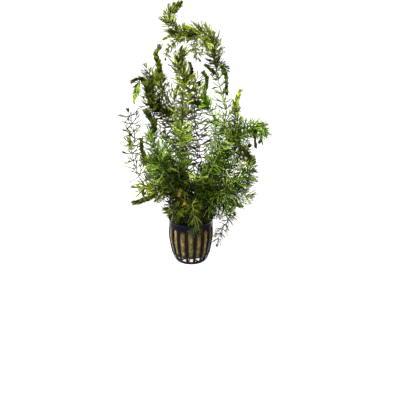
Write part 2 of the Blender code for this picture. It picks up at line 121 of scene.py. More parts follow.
def add_light(name, place, aim, size, watts, colour):
    light = bpy.data.lights.new(name, "AREA")
    light.shape = "RECTANGLE"
    light.size, light.size_y = size
    light.energy = watts
    light.color = srgb(colour)[:3]
    lamp = put(name, light)
    lamp.location = place
    lamp.rotation_euler = (Vector(aim) - Vector(place)).to_track_quat("-Z", "Y").to_euler()


camera_data = bpy.data.cameras.new("camera")
camera_data.sensor_width = SENSOR_WIDTH
camera_data.lens = SENSOR_WIDTH * FOCAL_PIXELS / IMAGE_SIDE
camera = put("camera", camera_data)
camera.location = CAMERA_PLACE
camera.rotation_euler = (math.pi / 2 - LOOK_DOWN, 0.0, -LOOK_RIGHT)
bpy.context.scene.camera = camera

add_light("key_softbox", (-0.45, -0.8, 1.5), (0, 0, 0.12), (0.45, 0.45), 82.0, "fffaf2")
add_light("right_softbox", (1.1, -0.5, 0.7), (0, 0, 0.12), (0.5, 0.9), 9.0, "f4f8ff")
add_light("back_softbox", (0.2, 1.3, 1.4), (0, 0, 0.15), (1.2, 0.6), 16.0, "ffffff")
add_light("left_strip", (-0.9, 0.1, 0.15), (0, 0, 0.04), (0.12, 0.4), 16.0, "eef2ff")

world = bpy.data.worlds.new("white studio")
world.use_nodes = True
seen = add_node(world.node_tree, "ShaderNodeLightPath")
brightness = add_node(world.node_tree, "ShaderNodeMapRange", {0: seen, 3: 0.26})
connect(world.node_tree.nodes["Background"], {"Color": srgb("ffffff"), "Strength": brightness})
bpy.context.scene.world = world
bpy.context.scene.view_settings.view_transform = "Standard"

light_table, tree, shader = new_material("opal acrylic light table")
connect(shader, {"Base Color": srgb("9a9a9d"), "Roughness": 0.9, "Emission Color": srgb("ffffff"),
                 "Emission Strength": 0.85})
FLOOR_HALF = 6.0
floor_mesh = bpy.data.meshes.new("floor")
floor_mesh.from_pydata([(x * FLOOR_HALF, y * FLOOR_HALF, 0)
                        for x, y in ((-1, -1), (1, -1), (1, 1), (-1, 1))], [], [(0, 1, 2, 3)])
floor_mesh.materials.append(light_table)
floor = put("floor", floor_mesh)


# The net pot
# One injection-moulded piece of black polypropylene: a flared rim, sixteen arched slots over
# sixteen small openings, and a floor of a ring, eight bars and a hub. An eighth of it is laid
# out as a grid of wall cells, with the holes left out, and repeated round the pot's axis.

SECTORS = 8
FIRST_BAR = math.radians(-102.25)    # the floor bar that points nearly to the front
WALL = 1.2 * MM
SECTOR_HALF = 180 / SECTORS          # in degrees round the pot, as the next three are
SLOT_HALF = 7.2                      # half of a slot's width
SLOT_PLACE = 11.25                   # a slot's middle, from the rib over a floor bar
RIB_COLUMNS = (2.3, 20.2)            # on the ribs, inside and outside the slot
ARCH_RISE = 2.2                      # of a slot's round top above its sides
POT_ROWS = ((25.0, 51.5), (25.0, 50.2), (24.1, 49.4), (23.8, 48.8), (24.1, 46.2), (24.32, 44.4),
            (24.5, 41.0), (24.78, 36.5), (24.95, 32.0), (24.6, 27.5), (24.0, 23.0), (23.25, 18.5),
            (22.4, 14.0), (21.5, 10.2), (21.6, 9.6), (21.2, 9.0), (20.2, 6.2), (19.0, 3.1),
            (18.6, 2.0), (17.9, 0.7), (17.3, 0.0), (14.2, 0.0), (9.7, 0.0), (5.0, 0.0),
            (2.4, 0.0), (0.0, 0.0))  # radius and height, down the wall and in along the floor
ARCH_ROW, SLOT_FOOT_ROW, HOOP_FOOT_ROW, OPENING_FOOT_ROW, RING_ROW, HUB_ROW = 6, 13, 15, 17, 21, 23


def pot_columns():
    """Angles across one sector, in degrees: closer together over the round slot tops."""
    steps = [SLOT_HALF * math.sin(math.radians(30 * k)) for k in range(-3, 4)]
    inner, outer = RIB_COLUMNS
    right = [inner] + [SLOT_PLACE + step for step in steps] + [outer, SECTOR_HALF]
    return [-angle for angle in reversed(right)] + [0.0] + right


def pot_sector():
    """An eighth of the pot's outer skin; its faces point outwards and, on the floor, down."""
    columns = pot_columns()
    bm = bmesh.new()
    grid = []
    for number, (radius, height) in enumerate(POT_ROWS):
        line = []
        for angle in columns:
            across = (abs(angle) - SLOT_PLACE) / SLOT_HALF
            arched = number == ARCH_ROW and abs(across) < 1
            rise = ARCH_RISE * math.sqrt(1 - across * across) if arched else 0.0
            turn = math.radians(angle)
            line.append(bm.verts.new((radius * MM * math.cos(turn), radius * MM * math.sin(turn),
                                      (height + rise) * MM)))
        grid.append(line)
    for row in range(len(grid) - 1):
        for column in range(len(columns) - 1):
            middle = abs(columns[column] + columns[column + 1]) / 2
            by_slot = abs(middle - SLOT_PLACE) < SLOT_HALF
            on_bar = middle < SLOT_PLACE - SLOT_HALF
            in_slot = ARCH_ROW <= row < SLOT_FOOT_ROW or HOOP_FOOT_ROW <= row < OPENING_FOOT_ROW
            if (by_slot and in_slot) or (RING_ROW <= row < HUB_ROW and not on_bar):
                continue
            here, below = grid[row], grid[row + 1]
            bm.faces.new((here[column], below[column], below[column + 1], here[column + 1]))
    mesh = bpy.data.meshes.new("net_pot_moulding")
    bm.to_mesh(mesh)
    bm.free()
    return mesh


def geometry_tree(name, **inputs):
    """A new Geometry Nodes tree, and what it is given: its named inputs, kind by kind."""
    tree = bpy.data.node_groups.new(name, "GeometryNodeTree")
    tree.interface.new_socket("Geometry", in_out="OUTPUT", socket_type="NodeSocketGeometry")
    for kind, names in inputs.items():
        for name in names.split(", "):
            tree.interface.new_socket(name, in_out="INPUT", socket_type="NodeSocket" + kind)
    return tree, add_node(tree, "NodeGroupInput").outputs


def end_tree(tree, geometry, material):
    """End a tree with real geometry, because the export drops instances, and its material."""
    whole = add_node(tree, "GeometryNodeRealizeInstances", {"Geometry": geometry})
    dressed = add_node(tree, "GeometryNodeSetMaterial", {"Geometry": whole, "Material": material})
    add_node(tree, "NodeGroupOutput", {0: dressed})
    return tree


def round_the_axis():
    """Geometry Nodes: a sector repeated round the Z axis and welded into one skin."""
    tree, given = geometry_tree("sectors round the pot's axis", Geometry="Sector", Int="Sectors",
                                Float="First turn, Weld", Material="Plastic")
    points = add_node(tree, "GeometryNodePoints", {"Count": given["Sectors"]})
    number = add_node(tree, "GeometryNodeInputIndex")
    pitch = add_node(tree, "ShaderNodeMath", {0: 2 * math.pi, 1: given["Sectors"]},
                     operation="DIVIDE")
    turn = add_node(tree, "ShaderNodeMath", {0: number, 1: pitch, 2: given["First turn"]},
                    operation="MULTIPLY_ADD")
    turned = add_node(tree, "ShaderNodeCombineXYZ", {2: turn})
    ring = add_node(tree, "GeometryNodeInstanceOnPoints",
                    {"Points": points, "Instance": given["Sector"], "Rotation": turned})
    loose = add_node(tree, "GeometryNodeRealizeInstances", {"Geometry": ring})
    skin = add_node(tree, "GeometryNodeMergeByDistance",
                    {"Geometry": loose, "Distance": given["Weld"]})
    return end_tree(tree, skin, given["Plastic"])


def set_inputs(modifier, values):
    """Give a Geometry Nodes modifier its values by the name that each input has in the tree."""
    for item in modifier.node_group.interface.items_tree:
        if item.item_type == "SOCKET" and item.in_out == "INPUT" and item.name in values:
            modifier[item.identifier] = values[item.name]


def settle(pieces):
    """Give each piece a plain mesh, as its modifiers make it, and take them off."""
    ready = bpy.context.evaluated_depsgraph_get()
    meshes = [bpy.data.meshes.new_from_object(piece.evaluated_get(ready), depsgraph=ready)
              for piece in pieces]
    for piece, mesh in zip(pieces, meshes):
        piece.modifiers.clear()
        piece.data = mesh


# Black polypropylene from a satin mould: nearly black with a cool cast, and sheen at grazing
# angles. Slight waves in the wall, 6 mm long, break up its long reflections. Damp wool has left
# a brown film on the ribs, up to the top of the slots.
pot_plastic, tree, shader = new_material("black polypropylene, injection moulded")
place = add_node(tree, "ShaderNodeTexCoord").outputs["Object"]
cast = add_node(tree, "ShaderNodeTexNoise", {"Vector": place, "Scale": 120.0, "Detail": 4.0})
bare_plastic = add_node(tree, "ShaderNodeMix", {0: cast, 6: srgb("05060c"), 7: srgb("0c0e1a")},
                        data_type="RGBA")
height = add_node(tree, "ShaderNodeSeparateXYZ", {0: place}).outputs[2]
film = add_node(tree, "ShaderNodeMapRange", {0: height, 1: 0.040, 2: 0.046, 3: 0.9, 4: 0.0},
                interpolation_type="SMOOTHSTEP")
shade = add_node(tree, "ShaderNodeMix", {0: film, 6: bare_plastic, 7: srgb("110a08")},
                 data_type="RGBA")
satin = add_node(tree, "ShaderNodeMapRange", {0: cast, 3: 0.22, 4: 0.42})
waves = add_node(tree, "ShaderNodeTexNoise", {"Vector": place, "Scale": 165.0, "Detail": 1.0})
grain = add_node(tree, "ShaderNodeTexNoise", {"Vector": place, "Scale": 2500.0, "Detail": 2.0})
relief = add_node(tree, "ShaderNodeMath", {0: grain, 1: 0.06, 2: waves}, operation="MULTIPLY_ADD")
bump = add_node(tree, "ShaderNodeBump", {"Height": relief, "Strength": 0.5, "Distance": 0.5 * MM})
facing = add_node(tree, "ShaderNodeLayerWeight", {"Blend": 0.5}).outputs["Facing"]
sheen = add_node(tree, "ShaderNodeMapRange", {0: facing, 1: 0.55, 2: 0.85, 3: 0.03, 4: 0.5})
shader.inputs["Specular IOR Level"].default_value = 0.3     # where the sheen isn't followed
connect(shader, {"Base Color": shade, "Roughness": satin, "Normal": bump,
                 "Specular IOR Level": sheen, "IOR": 1.49})

net_pot = put("net_pot_moulding", pot_sector())
repeats = net_pot.modifiers.new("repeats", "NODES")
repeats.node_group = round_the_axis()
set_inputs(repeats, {"Sectors": SECTORS, "First turn": FIRST_BAR, "Weld": 0.02 * MM,
                     "Plastic": pot_plastic})
wall = net_pot.modifiers.new("wall", "SOLIDIFY")
wall.thickness = WALL
wall.offset = -1.0
soft_edges = net_pot.modifiers.new("soft edges", "BEVEL")
soft_edges.width = 0.22 * MM
soft_edges.segments = 2
soft_edges.limit_method = "ANGLE"
soft_edges.angle_limit = math.radians(50)
settle([net_pot])
net_pot.data.shade_smooth()
net_pot.data.set_sharp_from_angle(angle=math.radians(40))
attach(net_pot, "root")
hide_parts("net_pot")


# The wool plug
# Stone wool pressed round the stems' feet: spun fibres, tan where fresh, golden and olive where
# damp and overgrown. It fills the pot, swells a little into each slot, and is combed by hand,
# so short fibres stand off its surface.

WOOL_FOOT, WOOL_TOP = 9.0, 43.6
WOOL_COLUMNS = 176
WOOL_ROW_STEP = 0.85
WALL_CLEAR = 1.1                     # between the wool and the ribs
SLOT_SWELL = 1.3                     # of the wool into a slot's middle
MOUND = 1.4                          # of the top's middle above its edge
SWELL_FOOT, SWELL_TOP = 10.4, 42.6   # heights between which the wool swells
SWELL_EASE = 2.5                     # of height, in which the swell comes to its full size
ROUGH = 0.75                         # size of the lumps on the surface
LUMPS = ((0.32, 1.0), (0.9, 0.55), (2.1, 0.35))     # how close they stand, and their share
LUMP_LIMIT = 1.0                     # of a lump towards a rib; past it by 0.3 of the swell
FOOT_RINGS = (0.3, 0.6, 0.85)        # radii of the mesh's rings, as shares
TOP_RINGS = (0.96, 0.91, 0.85, 0.78, 0.7, 0.62, 0.53, 0.43, 0.32, 0.2, 0.08)


def pot_radius(height):
    """The pot's outer radius at a height, by its rows."""
    for (high_radius, high), (low_radius, low) in zip(POT_ROWS, POT_ROWS[1:]):
        if low <= height <= high and high > low:
            return low_radius + (high_radius - low_radius) * (height - low) / (high - low)
    return POT_ROWS[0][0]


def wool_point(radius, height, turn):
    """A point of the wool's surface, moved by its lumps."""
    flat = Vector((math.cos(turn), math.sin(turn), 0.0))
    place = flat * radius + Vector((0, 0, height))
    return place, flat, ROUGH * sum(share * noise.noise(place * near) for near, share in LUMPS)


def wool_mesh():
    """The plug as rings from the middle of its foot, up its side, to the middle of its top."""
    pitch = math.radians(2 * SLOT_PLACE)
    side_rows = round((WOOL_TOP - WOOL_FOOT) / WOOL_ROW_STEP)
    bm = bmesh.new()
    rings = []
    foot_radius = pot_radius(WOOL_FOOT) - WALL / MM - WALL_CLEAR
    top_radius = pot_radius(WOOL_TOP) - WALL / MM - WALL_CLEAR
    levels = [("foot", share) for share in FOOT_RINGS]
    levels += [("side", number / side_rows) for number in range(side_rows + 1)]
    levels += [("top", share) for share in TOP_RINGS]
    for kind, share in levels:
        ring = []
        for column in range(WOOL_COLUMNS):
            turn = 2 * math.pi * column / WOOL_COLUMNS
            if kind == "side":
                height = WOOL_FOOT + (WOOL_TOP - WOOL_FOOT) * share
                from_slot = (turn - FIRST_BAR) % pitch - pitch / 2
                across = min(1.0, abs(from_slot) / math.radians(SLOT_HALF))
                from_end = min(height - SWELL_FOOT, SWELL_TOP - height)
                along = min(1.0, max(0.0, from_end / SWELL_EASE))
                swell = SLOT_SWELL * (1 - across ** 2) * along
                radius = pot_radius(height) - WALL / MM - WALL_CLEAR + swell
                place, flat, lump = wool_point(radius, height, turn)
                place += flat * min(lump, LUMP_LIMIT + 0.3 * swell)
            else:
                radius = (foot_radius if kind == "foot" else top_radius) * share
                height = WOOL_FOOT if kind == "foot" else WOOL_TOP + MOUND * (1 - share * share)
                place, flat, lump = wool_point(radius, height, turn)
                place.z += lump
            ring.append(bm.verts.new(place * MM))
        rings.append(ring)
    for below, above in zip(rings, rings[1:]):
        for number in range(WOOL_COLUMNS):
            nxt = (number + 1) % WOOL_COLUMNS
            bm.faces.new((below[number], below[nxt], above[nxt], above[number]))
    bm.faces.new(list(reversed(rings[0])))
    bm.faces.new(rings[-1])
    for face in bm.faces:
        face.smooth = True
    mesh = bpy.data.meshes.new("stone_wool")
    bm.to_mesh(mesh)
    bm.free()
    return mesh


def fibre_tree():
    """Geometry Nodes: the wool's body with short bent fibres lying over it."""
    tree, given = geometry_tree("combed fibres", Geometry="Wool", Int="Seed", Material="Stone wool",
                                Float="Fibres per area, Shortest, Longest, Thickness")
    spread = add_node(tree, "GeometryNodeDistributePointsOnFaces",
                      {"Mesh": given["Wool"], "Density": given["Fibres per area"],
                       "Seed": given["Seed"]})
    bow = add_node(tree, "GeometryNodeCurvePrimitiveBezierSegment",
                   {"Resolution": 4, "Start": (0, 0, -0.05), "Start Handle": (0.3, 0.12, 0.14),
                    "End Handle": (0.6, -0.16, 0.2), "End": (1.0, 0.05, 0.1)})
    spin = add_node(tree, "FunctionNodeRandomValue",
                    {2: 0.0, 3: 2 * math.pi, "Seed": given["Seed"]})
    twist = add_node(tree, "ShaderNodeCombineXYZ", {2: spin})
    turned = add_node(tree, "FunctionNodeRotateRotation", {0: spread.outputs["Rotation"], 1: twist},
                      rotation_space="LOCAL")
    length = add_node(tree, "FunctionNodeRandomValue",
                      {2: given["Shortest"], 3: given["Longest"], "Seed": 7})
    laid = add_node(tree, "GeometryNodeInstanceOnPoints",
                    {"Points": spread.outputs["Points"], "Instance": bow, "Rotation": turned,
                     "Scale": length})
    loose = add_node(tree, "GeometryNodeRealizeInstances", {"Geometry": laid})
    ring = add_node(tree, "GeometryNodeCurvePrimitiveCircle", {"Resolution": 3, "Radius": 1.0})
    fibres = add_node(tree, "GeometryNodeCurveToMesh",
                      {"Curve": loose, "Profile Curve": ring, "Scale": given["Thickness"],
                       "Fill Caps": True})
    marked = add_node(tree, "GeometryNodeStoreNamedAttribute",
                      {"Geometry": fibres, "Name": "fibre", "Value": 1.0})
    both = add_node(tree, "GeometryNodeJoinGeometry")
    for mesh in (given["Wool"], marked):
        connect(both, {0: mesh})
    return end_tree(tree, both, given["Stone wool"])


# Spun stone wool, damp: dull, with patches 8 to 15 mm across in tan, golden brown and olive, and
# streaks 1 mm wide where the fibres run up and down. Loose fibres are paler than the mass.
stone_wool, tree, shader = new_material("stone wool, spun and pressed")
place = add_node(tree, "ShaderNodeTexCoord").outputs["Object"]
patches = add_node(tree, "ShaderNodeTexNoise", {"Vector": place, "Scale": 95.0, "Detail": 3.0})
patch_share = add_node(tree, "ShaderNodeMapRange", {0: patches, 1: 0.44, 2: 0.56})
shifted = add_node(tree, "ShaderNodeMapping", {0: place, 1: (0.3, 0.1, 0.2)})
algae = add_node(tree, "ShaderNodeTexNoise", {"Vector": shifted, "Scale": 70.0, "Detail": 2.0})
algae_share = add_node(tree, "ShaderNodeMapRange", {0: algae, 1: 0.47, 2: 0.57})
drawn = add_node(tree, "ShaderNodeMapping", {0: place, 3: (1.0, 1.0, 0.22)})
streaks = add_node(tree, "ShaderNodeTexNoise", {"Vector": drawn, "Scale": 900.0, "Detail": 3.0})
streak_light = add_node(tree, "ShaderNodeMapRange", {0: streaks, 1: 0.3, 2: 0.7, 3: 0.3, 4: 1.5})
fresh = add_node(tree, "ShaderNodeMix", {0: patch_share, 6: srgb("5e4312"), 7: srgb("726340")},
                 data_type="RGBA")
grown_over = add_node(tree, "ShaderNodeMix", {0: algae_share, 6: fresh, 7: srgb("4e4a1c")},
                      data_type="RGBA")
streaked = add_node(tree, "ShaderNodeHueSaturation", {"Value": streak_light, "Color": grown_over})
is_fibre = add_node(tree, "ShaderNodeAttribute", attribute_name="fibre").outputs["Fac"]
fibre_share = add_node(tree, "ShaderNodeMath", {0: is_fibre, 1: 0.7}, operation="MULTIPLY")
colour = add_node(tree, "ShaderNodeMix", {0: fibre_share, 6: streaked, 7: srgb("a8966c")},
                  data_type="RGBA")
bump = add_node(tree, "ShaderNodeBump", {"Height": streaks, "Strength": 0.8, "Distance": 0.6 * MM})
connect(shader, {"Base Color": colour, "Roughness": 0.85, "IOR": 1.4, "Normal": bump})

wool_plug = put("stone_wool", wool_mesh())
combing = wool_plug.modifiers.new("combing", "NODES")
combing.node_group = fibre_tree()
set_inputs(combing, {"Fibres per area": 1.6e5, "Seed": 3, "Shortest": 1.5 * MM, "Longest": 4.0 * MM,
                     "Thickness": 0.07 * MM, "Stone wool": stone_wool})
settle([wool_plug])
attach(wool_plug, "root")
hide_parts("wool_plug")


# How a shoot grows
# Hornwort has no roots: a thin stem carries whorls of stiff hair-thin leaves, each forked once or
# twice and curved towards the tip. Whorls crowd together at the tip and close over it as a bud.

LEAF_FOOT_RADIUS, LEAF_TIP_RADIUS = 0.47 * MM, 0.27 * MM
STEM_FOOT_RADIUS, STEM_TIP_RADIUS = 0.75 * MM, 0.35 * MM
FORK_HEIGHTS = (0.24, 0.54)          # where a leaf forks, as shares of its length
FORK_TILT, TIP_FORK_TILT = (9, 19), (10, 18)     # of a fork's arms, in degrees, least and most
LEAF_LEAN, LEAF_CURL, LEAF_ROLL = (-14, 2), (12, 62), (-35, 35)     # the same
PLAIN_TIP_TILT, SHORT_TIP_TILT = 0.6, 1.3           # as shares of those tilts
PLAIN_TIP_BEND, LONG_TIP_BEND = 0.83, 0.86          # heights at which a tip bends once more
SHORT_TIP_END = (0.88, 0.97)         # height of the shorter tip of a second fork
LEAF_FORMS, TWICE_FORKED = 6, 3      # every third form is forked twice
FORM_SEED = 100
UNEVEN_TURN = 0.35                   # of a leaf round its stem, to either side, in radians
UNEVEN_SPREAD = (-0.4, 0.3)          # of a leaf from its stem, in radians
UNEVEN_LENGTH = (0.66, 1.14)         # of a leaf, as shares of what its place gives it
SEED_STEP = 5000.0                   # more than the leaves of any shoot
HELD, FREE = 48 * MM, 78 * MM        # heights between which the wander sets in
WANDER_SCALE = 75.0
CLOSED_SPREAD = math.radians(22)     # of a bud's leaves
CLOSED_WIDTH = 0.4                   # of a leaf's forks while it is in the bud
FORKS_OPEN = 0.6                     # how far open a leaf is when its forks stand fully apart


def leaf_form(number):
    """One leaf of unit length as poly splines: it grows along Z, curves to -X, and forks once;
    every third form forks twice."""
    dice = random.Random(FORM_SEED + number)
    lean = math.radians(dice.uniform(*LEAF_LEAN))
    curl = math.radians(dice.uniform(*LEAF_CURL))
    first_half = math.radians(dice.uniform(*FORK_TILT))
    roll = math.radians(dice.uniform(*LEAF_ROLL))
    low_fork, high_fork = FORK_HEIGHTS

    def walk(start, sideways, heights):
        """Points from a fork upwards; sideways turns the path out of the leaf's plane."""
        points = [start]
        for low, high in zip(heights, heights[1:]):
            bend = lean + curl * (low + high) / 2
            ahead = Vector((-math.sin(bend), 0.0, math.cos(bend)))
            ahead.rotate(Matrix.Rotation(sideways, 3, Vector((math.cos(roll), math.sin(roll), 0.0))))
            points.append(points[-1] + ahead * (high - low))
        return points

    trunk = walk(Vector((0, 0, 0)), 0.0, (0.0, low_fork))
    splines = []
    for side in (1, -1):
        arm = walk(trunk[-1], side * first_half, (low_fork, high_fork))
        second_half = math.radians(dice.uniform(*TIP_FORK_TILT))
        low_part = (trunk if side == 1 else trunk[-1:]) + arm[1:]
        if number % TWICE_FORKED:
            tip = walk(arm[-1], side * first_half * PLAIN_TIP_TILT, (high_fork, PLAIN_TIP_BEND, 1.0))
            splines.append(low_part + tip[1:])
            continue
        tip = walk(arm[-1], side * (first_half + second_half), (high_fork, LONG_TIP_BEND, 1.0))
        splines.append(low_part + tip[1:])
        splines.append(walk(arm[-1], side * (first_half - second_half * SHORT_TIP_TILT),
                            (high_fork, dice.uniform(*SHORT_TIP_END))))

    curve = bpy.data.curves.new(f"leaf_form_{number}", "CURVE")
    curve.dimensions = "3D"
    for points in splines:
        spline = curve.splines.new("POLY")
        spline.points.add(len(points) - 1)
        for point, place in zip(spline.points, points):
            point.co = (*place, 1.0)
    return bpy.data.objects.new(f"leaf_form_{number}", curve)


leaf_forms = bpy.data.collections.new("leaf_forms")
for form_number in range(LEAF_FORMS):
    leaf_forms.objects.link(leaf_form(form_number))


def shoot_tree():
    """Geometry Nodes: a stem along the path, and leaves on it in whorls."""
    tree, given = geometry_tree(
        "whorled shoot", Geometry="Path", Collection="Leaf forms", Material="Tissue",
        Int="Open whorls, Last whorl, Leaf count, Leaves in a whorl, Seed",
        Float="Bare foot, Bud foot, Bud, Bud leaf, Bud closing, Foot leaf, Tip leaf, Foot spread, "
              "Tip spread, Wander, Stretch, Thickness")
    path = add_node(tree, "GeometryNodeMeshToCurve", {"Mesh": given["Path"]})

    # The stem, thinner towards its tip
    along = add_node(tree, "GeometryNodeSplineParameter")
    stem_width = add_node(tree, "ShaderNodeMapRange",
                          {0: along, 3: STEM_FOOT_RADIUS, 4: STEM_TIP_RADIUS})
    aged_path = add_node(tree, "GeometryNodeStoreNamedAttribute",
                         {"Geometry": path, "Name": "age", "Value": along})
    stem_ring = add_node(tree, "GeometryNodeCurvePrimitiveCircle", {"Resolution": 6, "Radius": 1.0})
    bare_stem = add_node(tree, "GeometryNodeCurveToMesh",
                         {"Curve": aged_path, "Profile Curve": stem_ring, "Scale": stem_width,
                          "Fill Caps": True})
    stem = add_node(tree, "GeometryNodeStoreNamedAttribute",
                    {"Geometry": bare_stem, "Name": "stem", "Value": 1.0})

    # One point for each leaf, at its whorl: the gaps grow with height, and close up in the bud
    points = add_node(tree, "GeometryNodePoints", {"Count": given["Leaf count"]})
    number = add_node(tree, "GeometryNodeInputIndex")
    turns = add_node(tree, "ShaderNodeMath", {0: number, 1: given["Leaves in a whorl"]},
                     operation="DIVIDE")
    whorl = add_node(tree, "ShaderNodeMath", {0: turns}, operation="FLOOR")
    rank = add_node(tree, "ShaderNodeMapRange", {0: whorl, 2: given["Open whorls"]})
    risen = add_node(tree, "ShaderNodeMath", {0: rank, 1: given["Stretch"]}, operation="POWER")
    below_bud = add_node(tree, "ShaderNodeMapRange",
                         {0: risen, 3: given["Bare foot"], 4: given["Bud foot"]})
    in_bud = add_node(tree, "ShaderNodeMapRange",
                      {0: whorl, 1: given["Open whorls"], 2: given["Last whorl"], 4: given["Bud"]})
    age = add_node(tree, "ShaderNodeMath", {0: below_bud, 1: in_bud}, operation="ADD")
    sample = add_node(tree, "GeometryNodeSampleCurve", {"Curves": path, "Factor": age},
                      mode="FACTOR")
    placed = add_node(tree, "GeometryNodeSetPosition",
                      {"Geometry": points, "Position": sample.outputs["Position"]})

    # How far a leaf has opened, from the closed tip of the bud down to its foot
    below_tip = add_node(tree, "ShaderNodeMapRange", {0: age, 1: 1.0, 2: given["Bud foot"]})
    openness = add_node(tree, "ShaderNodeMath", {0: below_tip, 1: given["Bud closing"]},
                        operation="POWER")

    # Its turn round the stem, and its spread away from the stem
    leaf_id = add_node(tree, "ShaderNodeMath", {0: given["Seed"], 1: SEED_STEP, 2: number},
                       operation="MULTIPLY_ADD")
    whorl_id = add_node(tree, "ShaderNodeMath", {0: given["Seed"], 1: SEED_STEP, 2: whorl},
                        operation="MULTIPLY_ADD")
    whorl_turn = add_node(tree, "FunctionNodeRandomValue",
                          {2: 0.0, 3: math.pi, "ID": whorl_id, "Seed": 1})
    uneven_turn = add_node(tree, "FunctionNodeRandomValue",
                           {2: -UNEVEN_TURN, 3: UNEVEN_TURN, "ID": leaf_id, "Seed": 2})
    even_turn = add_node(tree, "ShaderNodeMath", {0: turns, 1: 2 * math.pi, 2: whorl_turn},
                         operation="MULTIPLY_ADD")
    turn = add_node(tree, "ShaderNodeMath", {0: even_turn, 1: uneven_turn}, operation="ADD")
    even_spread = add_node(tree, "ShaderNodeMapRange",
                           {0: age, 3: given["Foot spread"], 4: given["Tip spread"]})
    uneven_spread = add_node(tree, "FunctionNodeRandomValue",
                             {2: UNEVEN_SPREAD[0], 3: UNEVEN_SPREAD[1], "ID": leaf_id, "Seed": 3})
    open_spread = add_node(tree, "ShaderNodeMath", {0: even_spread, 1: uneven_spread},
                           operation="ADD")
    spread = add_node(tree, "ShaderNodeMapRange", {0: openness, 3: CLOSED_SPREAD, 4: open_spread})
    upright = add_node(tree, "FunctionNodeAxesToRotation",
                       {0: sample.outputs["Tangent"], 1: sample.outputs["Normal"]},
                       primary_axis="Z", secondary_axis="X")
    lean = add_node(tree, "ShaderNodeCombineXYZ", {1: spread, 2: turn})
    rotation = add_node(tree, "FunctionNodeRotateRotation", {0: upright, 1: lean},
                        rotation_space="LOCAL")

    # Its size: shorter in the bud, where its forks lie close together too
    open_length = add_node(tree, "ShaderNodeMapRange",
                           {0: age, 3: given["Foot leaf"], 4: given["Tip leaf"]})
    bud_share = add_node(tree, "ShaderNodeMapRange", {0: openness, 3: given["Bud leaf"]})
    any_share = add_node(tree, "FunctionNodeRandomValue",
                         {2: UNEVEN_LENGTH[0], 3: UNEVEN_LENGTH[1], "ID": leaf_id, "Seed": 4})
    even_length = add_node(tree, "ShaderNodeMath", {0: open_length, 1: bud_share},
                           operation="MULTIPLY")
    length = add_node(tree, "ShaderNodeMath", {0: even_length, 1: any_share}, operation="MULTIPLY")
    fork_share = add_node(tree, "ShaderNodeMapRange", {0: openness, 2: FORKS_OPEN, 3: CLOSED_WIDTH})
    width = add_node(tree, "ShaderNodeMath", {0: length, 1: fork_share}, operation="MULTIPLY")
    size = add_node(tree, "ShaderNodeCombineXYZ", {0: width, 1: width, 2: length})

    # What its tissue reads, and the leaf itself
    tint = add_node(tree, "FunctionNodeRandomValue", {2: 0.0, 3: 1.0, "ID": leaf_id, "Seed": 5})
    marked = placed
    for name, value in (("tint", tint), ("age", age), ("open", openness)):
        marked = add_node(tree, "GeometryNodeStoreNamedAttribute",
                          {"Geometry": marked, "Name": name, "Value": value})
    forms = add_node(tree, "GeometryNodeCollectionInfo",
                     {"Collection": given["Leaf forms"], "Separate Children": True})
    which = add_node(tree, "FunctionNodeRandomValue",
                     {4: 0, 5: LEAF_FORMS - 1, "ID": leaf_id, "Seed": 6}, data_type="INT")
    leaves = add_node(tree, "GeometryNodeInstanceOnPoints",
                      {"Points": marked, "Instance": forms, "Pick Instance": True,
                       "Instance Index": which, "Rotation": rotation, "Scale": size})
    loose = add_node(tree, "GeometryNodeRealizeInstances", {"Geometry": leaves})
    reach = add_node(tree, "GeometryNodeSplineParameter")
    tapered = add_node(tree, "ShaderNodeMapRange",
                       {0: reach, 3: LEAF_FOOT_RADIUS, 4: LEAF_TIP_RADIUS})
    leaf_width = add_node(tree, "ShaderNodeMath", {0: tapered, 1: given["Thickness"]},
                          operation="MULTIPLY")
    reached = add_node(tree, "GeometryNodeStoreNamedAttribute",
                       {"Geometry": loose, "Name": "reach", "Value": reach})
    leaf_ring = add_node(tree, "GeometryNodeCurvePrimitiveCircle", {"Resolution": 3, "Radius": 1.0})
    blades = add_node(tree, "GeometryNodeCurveToMesh",
                      {"Curve": reached, "Profile Curve": leaf_ring, "Scale": leaf_width,
                       "Fill Caps": True})

    # Stem and leaves wander a little, as they do in water, but not where the wool holds them
    both = add_node(tree, "GeometryNodeJoinGeometry")
    for mesh in (stem, blades):
        connect(both, {0: mesh})
    where = add_node(tree, "GeometryNodeInputPosition")
    waves = add_node(tree, "ShaderNodeTexNoise",
                     {"Vector": where, "Scale": WANDER_SCALE, "Detail": 1.0}).outputs["Color"]
    up = add_node(tree, "ShaderNodeSeparateXYZ", {0: where}).outputs[2]
    strength = add_node(tree, "ShaderNodeMapRange", {0: up, 1: HELD, 2: FREE, 4: given["Wander"]})
    centred = add_node(tree, "ShaderNodeVectorMath", {0: waves, 1: (0.5, 0.5, 0.5)},
                       operation="SUBTRACT")
    push = add_node(tree, "ShaderNodeVectorMath", {0: centred, "Scale": strength},
                    operation="SCALE")
    moved = add_node(tree, "GeometryNodeSetPosition", {"Geometry": both, "Offset": push})
    smooth = add_node(tree, "GeometryNodeSetShadeSmooth", {"Geometry": moved})
    return end_tree(tree, smooth, given["Tissue"])


SHOOT_TREE = shoot_tree()


def smooth_path(points, step):
    """Read a smooth curve through the points, evenly."""
    through = [Vector(p) for p in points]
    ends = [2 * through[0] - through[1]] + through + [2 * through[-1] - through[-2]]
    fine = []
    for a, b, c, d in zip(ends, ends[1:], ends[2:], ends[3:]):
        count = max(2, round((c - b).length / step))
        for number in range(count):
            t = number / count
            fine.append(0.5 * (2 * b + (c - a) * t + (2 * a - 5 * b + 4 * c - d) * t * t
                               + (3 * b - a - 3 * c + d) * t ** 3))
    return fine + [through[-1]]


